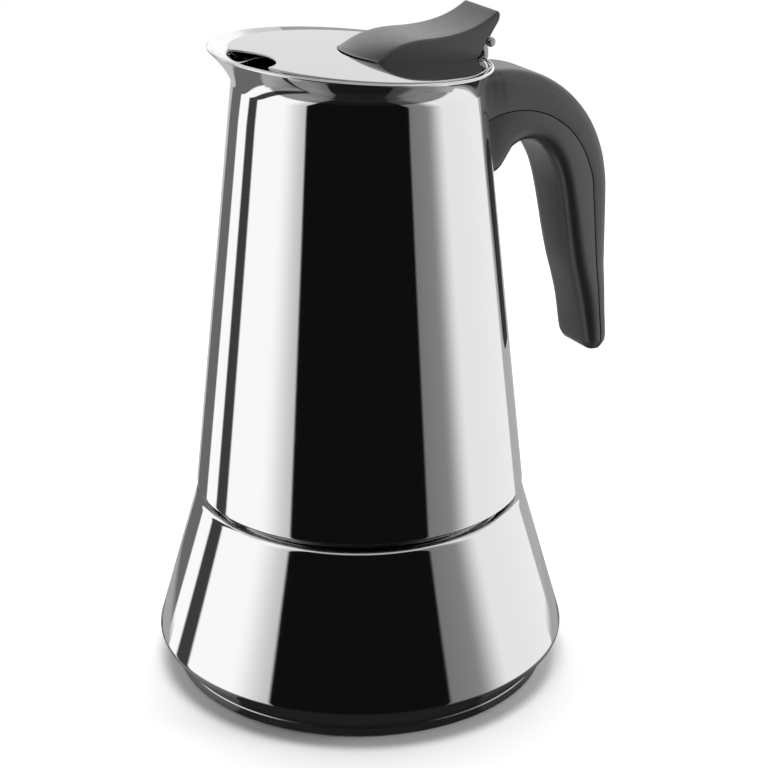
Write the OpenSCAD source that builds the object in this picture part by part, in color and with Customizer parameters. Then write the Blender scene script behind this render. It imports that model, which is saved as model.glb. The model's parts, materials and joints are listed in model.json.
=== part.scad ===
// Stovetop moka pot in polished steel with a moulded plastic handle and lid lever.
// Origin: centre of the underside of the base. +Z is up, the spout points along -X and
// the handle along +X. Millimetres.

/* [Base and boiler] */
// Radius of the base disc
base_r = 52.6; // [51.6:0.1:52.6]
// Thickness of the base disc
base_h = 3; // [2.5:0.1:3.5]
// Radius of the boiler at its widest
boiler_r = 57.5; // [56.5:0.1:58.5]
// Height of the widest place
bulge_z = 9.8; // [9.4:0.1:10.2]
// Radius of the rounding at the widest place
bulge_round = 2.6; // [2.2:0.1:3]
// Outer radius of the shoulder
shoulder_r = 46.1; // [45.8:0.1:46.3]
// Height of the flat top of the shoulder
shoulder_z = 51.7; // [51.4:0.1:52]
// Rounding of the shoulder
shoulder_round = 2; // [1.6:0.1:2.2]
// Outer radius of the threaded neck
neck_r = 41.5; // [41.4:0.05:41.6]
// Height of the rim of the neck
neck_top = 64; // [63.8:0.1:64.2]
// Thickness of the steel sheet
wall = 0.9; // [0.8:0.05:1]

/* [Screw thread] */
// Rise of the thread in one turn
pitch = 4; // [3.8:0.1:4.2]
// Turns of each thread
thread_turns = 1.6; // [1.2:0.1:1.7]
// How far each thread stands out
thread_depth = 1; // [0.8:0.05:1]

/* [Jug] */
// Height of the jug's lower edge
skirt_z = 54; // [53.6:0.1:54.4]
// Outer radius of the jug at its lower edge
skirt_r = 45.7; // [45.6:0.05:45.9]
// Outer radius of the throat under the rim
throat_r = 33.3; // [33:0.1:33.6]
// Height of the throat above the base, on the axis
throat_z = 167.2; // [166.8:0.1:167.6]
// Radius of the round rim
rim_r = 37.6; // [37.4:0.05:37.8]
// Height of the rim above the base, on the axis
rim_z = 173.6; // [173.4:0.1:173.8]
// Slope of the rim, higher at the spout, in degrees
rim_tilt = 5.1; // [4.9:0.1:5.3]
// How far the rim is set off towards the side that pours
spout_reach = 2.1; // [1.8:0.05:2.3]
// How much deeper the flare starts on the side that pours
spout_dip = 3; // [2:0.25:4]
// Radius of the column at its foot
column_foot_r = 8; // [7.5:0.1:8.5]
// Height of the top of the column
column_top = 124; // [118:1:128]

/* [Filter parts] */
// Outer radius of the funnel's basket
basket_r = 31; // [30.5:0.1:31.3]
// Height of the underside of the basket
basket_z = 42; // [41:0.5:43]
// Inner radius of the funnel's stem
stem_bore_r = 4.2; // [3.8:0.1:4.5]
// Height of the lower end of the stem
stem_z = 8; // [7:0.5:10]
// Radius of the holes in the filter plate and the funnel's screen
sieve_hole_r = 0.7; // [0.5:0.05:0.8]

/* [Handle] */
// Half width of the handle where it meets the jug
handle_root_half = 9; // [8.5:0.1:9.5]
// Half width of the handle's grip
handle_grip_half = 10.5; // [10:0.1:11]
// Half width of the handle at its lower end
handle_end_half = 8.8; // [8.4:0.1:9.5]
// Rounding of the outer edges of the handle
handle_round = 4; // [3:0.1:4.2]

/* [Lid] */
// Radius of the lid
lid_r = 34.1; // [33.9:0.05:34.3]
// Thickness of the lid's sheet
lid_t = 0.6; // [0.5:0.05:0.65]
// Depth of the lid's turned-down edge below the sheet
lid_hem = 0.6; // [0.4:0.1:0.8]
// Radius of the round notch that lets the coffee out
notch_r = 12.5; // [11:0.1:14]
// How far the notch reaches into the lid
notch_depth = 8.6; // [7:0.1:9]
// Distance of the hinge pin from the pot's axis
pin_x = 35.5; // [35.4:0.05:35.6]
// Height of the hinge pin
pin_z = 174.8; // [174.7:0.05:174.9]
// Radius of the hinge pin
pin_r = 1; // [0.9:0.05:1.1]
// Half width of the lever's front end
lever_front_half = 10.6; // [10:0.1:11]
// Half width of the lever's rear end
lever_rear_half = 8.6; // [8.2:0.1:9]

/* [Safety valve] */
// Height of the valve on the boiler
valve_z = 30; // [28:0.5:33]
// Travel of the valve's plunger
valve_travel = 1; // [0.8:0.1:1.1]

/* [Hidden] */

$fn = 96;
eps = 0.01;
steel = [0.80, 0.80, 0.81];
plastic = [0.20, 0.20, 0.21];
brass = [0.78, 0.62, 0.32];
silicone = [0.88, 0.87, 0.84];

// Wall of the boiler: a straight line tangent to the roundings of bulge and shoulder.
bulge_c = [boiler_r - bulge_round, bulge_z];
shoulder_c = [shoulder_r - shoulder_round, shoulder_z - shoulder_round];
lean = atan2(bulge_c[0] - shoulder_c[0], shoulder_c[1] - bulge_c[1])
    + asin((bulge_round - shoulder_round) / norm(shoulder_c - bulge_c));
function boiler_wall_r(z) = bulge_c[0] + bulge_round / cos(lean) - (z - bulge_z) * tan(lean);
// Slope of the underside that runs in from the bulge to the base disc.
chamfer_angle = 39.8;

// Stack of parts between boiler and jug.
flange_t = 1;
gasket_r = 41.2;
gasket_t = 3;
gasket_bore_r = 31.5;
plate_r = 33.7;
plate_t = 0.8;
flange_z = neck_top;
gasket_z = flange_z + flange_t;
floor_z = gasket_z + gasket_t;

// Side wall of the jug: a plain cone.
taper = (skirt_r - throat_r) / (throat_z - skirt_z);
function jug_r(z) = skirt_r - taper * (z - skirt_z);
cone_top = 160;
lip_columns = 90;
lip_rows = 7;
// How the flare bends: 1 is a straight cone, more is a trumpet.
flare_bend = 1.35;

// Threads. The two ridges are half a pitch apart, with play on every side.
thread_play = 0.3;
thread_z = neck_top - thread_turns * pitch - 2.1;
collar_bore_r = neck_r + thread_depth + thread_play;
collar_z = thread_z - 0.1;
wall_gap = 0.05;
turn_steps = 48;

// Lid and hinge.
lid_drop = tan(rim_tilt);
lid_z = -0.4;
lid_top = lid_z + lid_t;
knuckle_r = 2.3;
centre_half = 2.5;
knuckle_gap = 0.3;
side_knuckle = 2.4;
pin_half = 8.2;

function bezier(p, t) =
    p[0] * pow(1 - t, 3) + p[1] * 3 * t * pow(1 - t, 2)
    + p[2] * 3 * t * t * (1 - t) + p[3] * pow(t, 3);
function arc(c, r, from, to, n) =
    [for (i = [0 : n]) c + r * [cos(from + (to - from) * i / n), sin(from + (to - from) * i / n)]];

module on_rim() {
    translate([0, 0, rim_z]) rotate([0, rim_tilt, 0]) children();
}

// A closed solid from rings of points; every ring has the same number of points.
module loft(rings) {
    n = len(rings[0]);
    m = len(rings);
    points = [for (ring = rings) for (p = ring) p];
    side = [
        for (i = [0 : m - 2]) for (j = [0 : n - 1])
            [i * n + j, i * n + (j + 1) % n, (i + 1) * n + (j + 1) % n, (i + 1) * n + j]
    ];
    first = [for (j = [n - 1 : -1 : 0]) j];
    last = [for (j = [0 : n - 1]) (m - 1) * n + j];
    polyhedron(points = points, faces = concat(side, [first, last]), convexity = 6);
}

// A helical ridge. root is its radius inside the wall, crest its radius at the tip.
module helix_ridge(root, crest, z, half_root, half_crest) {
    steps = round(thread_turns * turn_steps);
    side = sign(crest - root);
    loft([
        for (i = [0 : steps]) let (
            a = 360 * i / turn_steps,
            h = z + pitch * i / turn_steps,
            ease = min(1, min(i, steps - i) / 4 + 0.25),
            tip = root + (crest - root) * ease
        ) [
            [root * cos(a), root * sin(a), h + side * half_root],
            [root * cos(a), root * sin(a), h - side * half_root],
            [tip * cos(a), tip * sin(a), h - side * half_crest],
            [tip * cos(a), tip * sin(a), h + side * half_crest]
        ]
    ]);
}

// ---- Boiler ----

module base_disc() {
    edge = 0.8;
    color(steel) rotate_extrude(convexity = 4) polygon(concat(
        [[0, 0]],
        arc([base_r - edge, edge], edge, -90, 0, 6),
        [[base_r, base_h], [0, base_h]]
    ));
}

// Outline of the boiler's outer face, or of its inner face when inset is the wall.
function boiler_face(inset) = let (
    bottom = base_h + inset,
    bulge = arc(bulge_c, bulge_round - inset, -chamfer_angle, lean, 8)
) concat(
    [[0, bottom], [bulge[0][0] - (bulge[0][1] - bottom) * tan(chamfer_angle), bottom]],
    bulge,
    arc(shoulder_c, shoulder_round - inset, lean, 90, 6),
    [[neck_r - inset, shoulder_z - inset]]
);

module boiler_shell() {
    outer = boiler_face(0);
    inner = boiler_face(wall);
    turned = [for (i = [len(inner) - 1 : -1 : 0]) inner[i]];
    color(steel) difference() {
        union() {
            rotate_extrude(convexity = 6) polygon(concat(
                outer, [[neck_r, neck_top], [neck_r - wall, neck_top]], turned
            ));
            helix_ridge(neck_r - wall / 2, neck_r + thread_depth, thread_z + 0.5, 1.3, 0.6);
        }
        on_valve() translate([0, 0, -10]) cylinder(h = 20, r = valve_shank_r);
    }
}

// ---- Safety valve, on the side away from the view ----

valve_shank_r = 4;
valve_bore_r = 2.7;
valve_head_t = 3;
valve_nose = 7;
valve_reach = 8;
plunger_r = 1;
plunger_head_r = 2.4;
plunger_head_t = 1;
seat_z = -1;

module on_valve() {
    translate([0, boiler_wall_r(valve_z), valve_z]) rotate([-(90 - lean), 0, 0]) children();
}

module valve_body() {
    hex_r = 5.8;
    color(brass) on_valve() difference() {
        union() {
            translate([0, 0, 0.6]) cylinder(h = valve_head_t, r = hex_r, $fn = 6);
            cylinder(h = valve_nose + 1, r = 4.1 + 0.4);
            translate([0, 0, -valve_reach]) cylinder(h = valve_reach + 1, r = valve_shank_r - 0.05);
        }
        translate([0, 0, -valve_reach - 1]) cylinder(h = valve_reach, r = 1.5);
        translate([0, 0, seat_z]) cylinder(h = valve_nose + 1 - seat_z - 0.8, r = valve_bore_r);
        translate([0, 0, 5]) cylinder(h = 4, r = plunger_r + 0.06);
        translate([0, 0, -eps]) difference() {
            cylinder(h = 0.6 + eps, r = 7);
            translate([0, 0, -1]) cylinder(h = 3, r = valve_shank_r - 0.05);
        }
    }
}

module valve_washer() {
    color(silicone) on_valve() difference() {
        cylinder(h = 0.6, r = 5.6);
        translate([0, 0, -1]) cylinder(h = 3, r = valve_shank_r);
    }
}

module valve_nut() {
    nut_t = 3;
    // clear of the hollow curve of the wall
    nut_z = -wall - 0.5;
    color(brass) on_valve() translate([0, 0, nut_z - nut_t]) difference() {
        cylinder(h = nut_t, r = 6.4, $fn = 6);
        translate([0, 0, -1]) cylinder(h = nut_t + 2, r = valve_shank_r);
    }
}

module valve_plunger() {
    color(brass) on_valve() {
        translate([0, 0, seat_z]) cylinder(h = plunger_head_t, r = plunger_head_r);
        translate([0, 0, seat_z]) cylinder(h = valve_nose + 1 - seat_z + 2, r = plunger_r);
    }
}

module valve_spring() {
    wire = 0.22;
    coil_r = 1.8;
    low = seat_z + plunger_head_t + wire + 0.05;
    high = valve_nose + 0.2 - wire - 0.05;
    turns = 6;
    steps = 16;
    color(steel) on_valve() loft([
        for (i = [0 : turns * steps]) let (a = 360 * i / steps, h = low + (high - low) * i / (turns * steps))
            [for (k = [0 : 5]) let (b = 60 * k, r = coil_r + wire * cos(b))
                [r * cos(a), r * sin(a), h - wire * sin(b)]]
    ]);
}

// ---- Funnel ----

module funnel_basket() {
    sheet = 0.7;
    lip_r = gasket_r - 0.3;
    color(steel) rotate_extrude(convexity = 6) polygon([
        [stem_bore_r + 1.0, basket_z - 4], [basket_r - 5, basket_z], [basket_r, basket_z],
        [basket_r, flange_z], [lip_r, flange_z], [lip_r, flange_z + flange_t],
        [basket_r - sheet, flange_z + flange_t], [basket_r - sheet, basket_z + sheet],
        [basket_r - 5, basket_z + sheet], [stem_bore_r + 1.0, basket_z - 4 + sheet]
    ]);
}

module funnel_stem() {
    tube = 0.8;
    top = basket_z - 4 + 0.7;
    color(steel) difference() {
        union() {
            translate([0, 0, stem_z]) cylinder(h = top - stem_z, r = stem_bore_r + tube);
            translate([0, 0, top - 2.7]) cylinder(h = 2, r = stem_bore_r + tube + 1);
        }
        translate([0, 0, stem_z - 1]) cylinder(h = top - stem_z + 2, r = stem_bore_r);
        // slanted foot, so that the stem never seals against the boiler's floor
        translate([0, 0, stem_z]) rotate([0, 20, 0]) translate([-10, -10, -10]) cube([20, 20, 10]);
    }
}

// A round plate with rings of small holes.
module sieve(r, t, rings, step) {
    difference() {
        cylinder(h = t, r = r);
        translate([0, 0, -1]) cylinder(h = t + 2, r = sieve_hole_r, $fn = 16);
        for (ring = [1 : rings]) for (k = [0 : 6 * ring - 1])
            rotate([0, 0, 360 * k / (6 * ring)]) translate([ring * step, 0, -1])
                cylinder(h = t + 2, r = sieve_hole_r, $fn = 16);
    }
}

module funnel_screen() {
    color(steel) translate([0, 0, basket_z + 0.7]) sieve(basket_r - 1, 0.6, 4, 6);
}

// ---- Seal between boiler and jug ----

module gasket() {
    color(silicone) translate([0, 0, gasket_z]) difference() {
        cylinder(h = gasket_t, r = gasket_r);
        translate([0, 0, -1]) cylinder(h = gasket_t + 2, r = gasket_bore_r);
        translate([0, 0, gasket_t - plate_t]) cylinder(h = gasket_t, r = plate_r + 0.1);
    }
}

module filter_plate() {
    color(steel) translate([0, 0, floor_z - plate_t]) sieve(plate_r, plate_t, 4, 7);
}

// ---- Jug ----

// Radius of the rim at angle a, seen from the pot's axis.
function rim_at(a) = sqrt(pow(rim_r, 2) - pow(spout_reach * sin(a), 2)) - spout_reach * cos(a);

// Outer face of the rim: t runs from the throat, 0, to the lip, 1.
function lip_point(a, t) = let (
    low_r = throat_r - 0.3,
    out_r = rim_at(a),
    low_z = throat_z - low_r * lid_drop * cos(a) - spout_dip * pow(max(0, -cos(a)), 3),
    out_z = rim_z - out_r * lid_drop * cos(a),
    z = low_z + (out_z - low_z) * t,
    r0 = jug_r(low_z)
) [r0 - taper * (z - low_z) * (1 - t) + (out_r - r0) * pow(t, flare_bend), z];

// Upright section of the jug's wall at angle a: up the outer face and down the inner one.
function jug_section(a) = let (
    edge = 0.2,
    roll = 0.5,
    steps = [0 : lip_rows],
    low = jug_r(skirt_z + roll),
    high = jug_r(cone_top)
) concat(
    [[jug_r(skirt_z) - edge, skirt_z], [low, skirt_z + roll], [high, cone_top]],
    [for (i = steps) lip_point(a, i / lip_rows)],
    [for (i = steps) lip_back(a, 1 - i / lip_rows)],
    [[high - wall, cone_top], [low - wall, skirt_z + roll], [jug_r(skirt_z) - wall + edge, skirt_z]]
);

// Inner face of the rim, a wall's thickness behind lip_point.
function lip_back(a, t) = let (
    step = 0.02,
    p = lip_point(a, t),
    q = lip_point(a, max(0, t - step)),
    s = lip_point(a, t + step),
    lean_out = t == 0 ? 0 : atan2(s[0] - q[0], s[1] - q[1])
) [p[0] - wall * cos(lean_out), p[1] + wall * sin(lean_out)];

module jug_shell() {
    n = lip_columns;
    sections = [for (j = [0 : n - 1]) jug_section(360 * j / n)];
    m = len(sections[0]);
    points = [for (j = [0 : n - 1]) let (a = 360 * j / n) for (p = sections[j])
        [p[0] * cos(a), p[0] * sin(a), p[1]]];
    faces = [for (j = [0 : n - 1]) for (k = [0 : m - 1]) let (
            here = j * m, next = (j + 1) % n * m, up = (k + 1) % m
        ) for (f = [[here + k, here + up, next + up], [here + k, next + up, next + k]]) f];
    color(steel) polyhedron(points = points, faces = faces, convexity = 6);
}

module thread_collar() {
    top = floor_z;
    color(steel) union() {
        rotate_extrude(convexity = 4) polygon([
            [collar_bore_r, collar_z], [jug_r(collar_z) - wall - wall_gap, collar_z],
            [jug_r(top) - wall - wall_gap, top], [collar_bore_r, top]
        ]);
        helix_ridge(collar_bore_r + 0.15, collar_bore_r - thread_depth, thread_z + 0.5 + pitch / 2, 1.3, 0.6);
    }
}

floor_t = 0.9;
floor_flat_r = 30;
floor_rise = 6;
seat_r = column_foot_r + 0.6;
column_r = 5.2;
column_wall = 0.9;

module jug_floor() {
    edge_r = jug_r(floor_z + floor_t) - wall - wall_gap;
    bore_r = column_foot_r - column_wall;
    color(steel) rotate_extrude(convexity = 4) polygon([
        [edge_r, floor_z], [edge_r, floor_z + floor_t], [floor_flat_r, floor_z + floor_t],
        [seat_r, floor_z + floor_rise + floor_t], [bore_r, floor_z + floor_rise + floor_t],
        [bore_r, floor_z + floor_rise], [seat_r, floor_z + floor_rise], [floor_flat_r, floor_z]
    ]);
}

module riser_column() {
    foot = floor_z + floor_rise + floor_t;
    // straight from here up, where the cap sits
    straight_z = column_top - 4;
    outer = [
        [column_foot_r, foot], [column_foot_r - 0.6, foot + 4],
        [column_r, straight_z], [column_r, column_top]
    ];
    inner = [for (i = [3 : -1 : 0]) outer[i] - [column_wall, 0]];
    color(steel) rotate_extrude(convexity = 4) polygon(concat(outer, inner));
}

module column_cap() {
    cap_r = column_r + 1;
    cap_h = 9;
    color(steel) translate([0, 0, column_top - 3]) difference() {
        union() {
            cylinder(h = cap_h - 2, r = cap_r);
            translate([0, 0, cap_h - 2]) cylinder(h = 2, r1 = cap_r, r2 = cap_r - 2);
        }
        translate([0, 0, -1]) cylinder(h = cap_h - 0.2, r = column_r + 0.05);
        for (a = [0, 180]) rotate([0, 0, a]) translate([0, 0, 5]) rotate([0, 90, 0])
            cylinder(h = 20, r = 1.8);
    }
}

// ---- Handle ----

// Side outline of the handle as pairs of points, outer face first, from the jug to the tip.
outer_bend = [[40, 166.4], [56.5, 166.6], [76, 151.8], [75.8, 125]];
inner_bend = [[43.4, 143.4], [46.6, 147.2], [55.3, 148], [59.8, 132.2]];
inner_grip = [[59.8, 132.2], [62.4, 122], [63.2, 112], [67, 100]];
outer_end = [77.4, 83.8];
inner_end = [70.7, 83.4];
bend_steps = 12;
grip_steps = 6;
handle_pairs = concat(
    [
        [[31, 166.1], [34, 136.7]], [[35.4, 166.3], [37.6, 137.2]],
        [[37, 166.4], [39.8, 138.2]], [[38.6, 166.4], [41.6, 140.6]]
    ],
    [for (i = [0 : bend_steps]) let (t = i / bend_steps) [bezier(outer_bend, t), bezier(inner_bend, t)]],
    [for (i = [1 : grip_steps]) let (t = i / grip_steps)
        [outer_bend[3] + (outer_end - outer_bend[3]) * 0.62 * t, bezier(inner_grip, t)]],
    [
        [[77, 91.5], [69.1, 91.6]], [outer_end, inner_end],
        [[77.1, 81.2], [71.2, 81.4]], [[76, 79.8], [72.2, 80.1]]
    ]
);
pair_count = len(handle_pairs);
function handle_half(i) = let (s = i / (pair_count - 1))
    i >= pair_count - 2 ? handle_end_half - 0.8 * (i - pair_count + 3)
    : s < 0.45 ? handle_root_half + (handle_grip_half - handle_root_half) * s / 0.45
    : handle_grip_half + (handle_end_half - handle_grip_half) * (s - 0.45) / 0.55;
// Share of the handle's depth that belongs to the outer shell.
function parting(i) = let (s = i / (pair_count - 1))
    s < 0.35 ? 0.47 + 0.2 * s : max(0.3, 0.54 - 0.9 * (s - 0.35));

function handle_ring(i, outer) = let (
    o = handle_pairs[i][0], n = handle_pairs[i][1], depth = norm(n - o), d = (n - o) / depth,
    w = handle_half(i), cut = parting(i) * depth,
    r = outer ? min(handle_round, cut - 0.3) : min(handle_round - 1, depth - cut - 0.3),
    corner = [for (k = [0 : 4]) 90 * k / 4],
    section = outer
        ? concat([[-w, cut]],
            [for (b = corner) [-w + r - r * cos(b), r - r * sin(b)]],
            [for (b = corner) [w - r + r * sin(b), r - r * cos(b)]],
            [[w, cut]])
        : concat([[w, cut]],
            [for (b = corner) [w - r + r * cos(b), depth - r + r * sin(b)]],
            [for (b = corner) [-w + r - r * sin(b), depth - r + r * cos(b)]],
            [[-w, cut]])
) [for (q = section) [o[0] + d[0] * q[1], q[0], o[1] + d[1] * q[1]]];

// Steel block welded to the jug, and the tongue on it that enters the handle.
block_z = 143;
block_h = 14;
block_half = 7;
block_x = jug_r(block_z) + 2.5;
tongue_x = 56;
tongue_z = 151;
tongue_t = 3;
tongue_half = 5;
pocket_gap = 0.1;
screw_x = 48.5;
screw_r = 2;

// Space taken by the jug's wall and by the hinge bracket.
module jug_clearance(gap) {
    translate([0, 0, 130]) cylinder(h = 33, r1 = jug_r(130) + gap, r2 = jug_r(163) + gap);
    translate([0, 0, 162.9]) cylinder(h = 10, r1 = jug_r(163) + gap + 0.1, r2 = rim_r + 2.1);
}

// Block and tongue, with a gap all round; they begin inside the jug's wall.
module block_and_tongue(gap) {
    start_x = 30;
    translate([start_x, -block_half - gap, block_z - gap])
        cube([block_x + gap - start_x, 2 * (block_half + gap), block_h + 2 * gap]);
    translate([start_x, -tongue_half - gap, tongue_z - gap])
        cube([tongue_x + gap - start_x, 2 * (tongue_half + gap), tongue_t + 2 * gap]);
}

module handle_outer_shell() {
    color(plastic) difference() {
        loft([for (i = [0 : pair_count - 1]) handle_ring(i, true)]);
        jug_clearance(0.05);
        block_and_tongue(pocket_gap);
        translate([32, -centre_half - 0.3, 156.5]) cube([5.2, 2 * centre_half + 0.6, 20]);
        translate([screw_x, 0, 150]) cylinder(h = 11, r = screw_r + 0.02);
    }
}

module handle_inner_shell() {
    color(plastic) difference() {
        loft([for (i = [0 : pair_count - 1]) handle_ring(i, false)]);
        jug_clearance(0.05);
        block_and_tongue(pocket_gap);
        translate([screw_x, 0, 140]) cylinder(h = 20, r = screw_r + 0.2);
        translate([screw_x, 0, 140]) cylinder(h = 8.6, r = 4);
    }
}

module handle_bracket() {
    color(steel) difference() {
        block_and_tongue(0);
        translate([0, 0, 130]) cylinder(h = 40, r1 = jug_r(130) + wall_gap, r2 = jug_r(170) + wall_gap);
        translate([screw_x, 0, 140]) cylinder(h = 20, r = screw_r + 0.02);
    }
}

module handle_screw() {
    head_t = 1.6;
    color(steel) translate([screw_x, 0, 148.6 - head_t]) difference() {
        union() {
            cylinder(h = head_t, r = 3.6);
            cylinder(h = 13, r = screw_r);
        }
        // cross recess
        for (a = [0, 90]) rotate([0, 0, a]) translate([-2.2, -0.4, -1]) cube([4.4, 0.8, 1.8]);
    }
}

// ---- Hinge ----

module pin_bore(r, half) {
    translate([pin_x, 0, pin_z]) rotate([90, 0, 0]) cylinder(h = 2 * half, r = r, center = true);
}

module hinge_bracket() {
    strip = [
        [jug_r(157), 157], [jug_r(162), 162], [34.1, 164.2], [34.5, 165.7], [35.2, 167.1],
        [36.2, 168.6], [37.3, 169.8], [37.2, 170.7], [35.8, 172.8], [37.2, 174.8], [38.8, 171.4],
        [38.8, 169.2], [37.3, 167.4], [36.3, 165.6], [35.6, 162.4], [35.6, 157]
    ];
    color(steel) difference() {
        union() {
            translate([0, centre_half, 0]) rotate([90, 0, 0])
                linear_extrude(height = 2 * centre_half) polygon(strip);
            pin_bore(knuckle_r, centre_half);
        }
        pin_bore(pin_r, 5);
        translate([0, 0, 150]) cylinder(h = 13, r1 = jug_r(150), r2 = jug_r(163));
    }
}

pin_head_r = pin_r + 0.3;

module hinge_pin() {
    head_t = 0.8;
    color(steel) {
        pin_bore(pin_r, pin_half);
        for (s = [-1, 1]) translate([pin_x, s * pin_half, pin_z]) rotate([s * -90, 0, 0]) {
            cylinder(h = head_t, r = pin_head_r);
            translate([0, 0, head_t]) cylinder(h = 0.4, r1 = pin_head_r, r2 = pin_head_r - 0.6);
        }
    }
}

// ---- Lid ----

module lid_disc() {
    edge = 0.25;
    hem_t = 0.6;
    hem_in = 0.5;
    slot_half = 8;
    color(steel) on_rim() difference() {
        // the edge is turned down, and leans like the inside of the rim
        translate([0, 0, lid_z]) rotate_extrude(convexity = 4) polygon([
            [0, 0], [lid_r - hem_in - hem_t - 0.2, 0], [lid_r - hem_in - hem_t, -lid_hem],
            [lid_r - hem_in, -lid_hem], [lid_r, lid_t / 2], [lid_r - edge, lid_t], [0, lid_t]
        ]);
        translate([-lid_r - notch_r + notch_depth, 0, -5]) cylinder(h = 10, r = notch_r);
        translate([slot_x, -slot_half, -5]) cube([10, 2 * slot_half, 10]);
        for (x = lever_screw_x) translate([x, 0, -5]) cylinder(h = 10, r = lever_screw_r + 0.1);
    }
}

// Where the slot for the hinge begins.
slot_x = 29.9;
lever_screw_x = [10, 22];
lever_screw_r = 1.5;
leaf_t = 1;
leaf_x = 17;
leaf_half = centre_half + knuckle_gap + side_knuckle;
leaf_end = 30.5;

leaf_arm = [[28.4, 171.4], [30.6, 171.15], [34.9, 172.7], [35.5, 174.5], [33.4, 174.9], [28.4, 172.2]];

module lid_hinge_leaf() {
    color(steel) difference() {
        union() {
            on_rim() translate([leaf_x, -leaf_half, lid_top])
                cube([leaf_end - leaf_x, 2 * leaf_half, leaf_t]);
            for (s = [-1, 1]) translate([0, s * (leaf_half - side_knuckle / 2), 0]) {
                translate([pin_x, 0, pin_z]) rotate([90, 0, 0])
                    cylinder(h = side_knuckle, r = knuckle_r, center = true);
                rotate([90, 0, 0]) linear_extrude(height = side_knuckle, center = true)
                    polygon(leaf_arm);
            }
        }
        pin_bore(pin_r + 0.05, 20);
        on_rim() translate([lever_screw_x[1], 0, -5]) cylinder(h = 12, r = lever_screw_r + 0.1);
        on_rim() translate([0, 0, lid_top - 20]) cylinder(h = 20, r = lid_r + 20);
    }
}

// Side outline of the lever, from the front edge over the top to the rear.
lever_front = [[-3.2, 173.9], [1, 176.6], [7.5, 178.4], [16, 178]];
lever_rear = [[16, 178], [24.5, 177.6], [32, 178.6], [37.6, 182.6]];
lever_side = concat(
    [for (i = [0 : 10]) bezier(lever_front, i / 10)],
    [for (i = [1 : 10]) bezier(lever_rear, i / 10)],
    [[38.1, 182.4], [38.2, 180.9], [37.6, 179.8], [31.2, 170.9], [31.2, 165], [-3.2, 165]]
);
lever_bow_r = 21.5;
lever_bow_angle = asin(lever_front_half / lever_bow_r);
lever_plan = concat(
    arc([lever_front[0][0] + lever_bow_r, 0], lever_bow_r, 180 - lever_bow_angle, 180 + lever_bow_angle, 12),
    [[38.6, -lever_rear_half], [38.6, lever_rear_half]]
);

module lid_lever() {
    color(plastic) difference() {
        intersection() {
            translate([0, 15, 0]) rotate([90, 0, 0]) linear_extrude(height = 30) polygon(lever_side);
            translate([0, 0, 160]) linear_extrude(height = 30) polygon(lever_plan);
        }
        on_rim() translate([0, 0, lid_top - 20]) cylinder(h = 20, r = 80);
        // pocket for the hinge leaf and its knuckles
        on_rim() translate([leaf_x - 0.1, -leaf_half - 0.1, lid_top - 1])
            cube([20, 2 * leaf_half + 0.2, leaf_t + 1.1]);
        translate([0, leaf_half + 0.1, 0]) rotate([90, 0, 0]) linear_extrude(height = 2 * leaf_half + 0.2)
            polygon([[28, 170.5], [36, 170.5], [36, 175.3], [33.2, 175.3], [28, 172.8]]);
        pin_bore(knuckle_r + 0.3, leaf_half + 0.1);
        pin_bore(4.6, centre_half + 0.4);
        pin_bore(pin_head_r + 0.3, 15);
        on_rim() for (x = lever_screw_x) translate([x, 0, 0]) cylinder(h = 3.6, r = lever_screw_r);
    }
}

module lever_screws() {
    color(steel) on_rim() for (x = lever_screw_x) translate([x, 0, lid_z - 1]) {
        cylinder(h = 1, r = 2.8);
        cylinder(h = 4, r = lever_screw_r);
    }
}

base_disc();
boiler_shell();
valve_body();
valve_washer();
valve_nut();
valve_spring();
valve_plunger();
funnel_basket();
funnel_stem();
funnel_screen();
gasket();
filter_plate();
jug_shell();
thread_collar();
jug_floor();
riser_column();
column_cap();
handle_bracket();
handle_outer_shell();
handle_inner_shell();
handle_screw();
hinge_bracket();
hinge_pin();
lid_disc();
lid_hinge_leaf();
lid_lever();
lever_screws();
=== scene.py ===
"""Looks for a stovetop moka pot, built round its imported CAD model.

The shapes are in millimetres here and turned into metres where a mesh is made. The spout
points along -X, the handle along +X and +Z is up.
"""
import json
import math

import bmesh
import bpy
import numpy as np
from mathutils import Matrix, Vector

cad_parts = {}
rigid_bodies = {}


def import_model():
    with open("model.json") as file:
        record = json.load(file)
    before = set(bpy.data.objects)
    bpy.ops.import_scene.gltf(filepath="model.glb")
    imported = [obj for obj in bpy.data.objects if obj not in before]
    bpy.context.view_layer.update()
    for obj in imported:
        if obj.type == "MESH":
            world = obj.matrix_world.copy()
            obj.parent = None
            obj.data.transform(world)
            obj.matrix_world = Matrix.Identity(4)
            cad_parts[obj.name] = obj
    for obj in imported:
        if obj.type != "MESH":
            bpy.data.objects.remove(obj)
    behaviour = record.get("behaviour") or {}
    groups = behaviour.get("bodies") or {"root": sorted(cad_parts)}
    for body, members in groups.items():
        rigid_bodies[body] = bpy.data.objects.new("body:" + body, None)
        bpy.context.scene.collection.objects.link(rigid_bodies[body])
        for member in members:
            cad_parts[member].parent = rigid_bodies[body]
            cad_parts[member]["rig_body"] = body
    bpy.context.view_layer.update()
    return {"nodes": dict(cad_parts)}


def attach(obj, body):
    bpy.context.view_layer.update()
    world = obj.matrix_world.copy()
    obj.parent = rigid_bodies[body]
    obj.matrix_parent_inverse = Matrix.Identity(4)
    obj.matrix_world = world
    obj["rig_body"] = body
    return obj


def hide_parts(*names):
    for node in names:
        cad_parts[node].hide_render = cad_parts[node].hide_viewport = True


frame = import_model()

MM = 0.001

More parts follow.
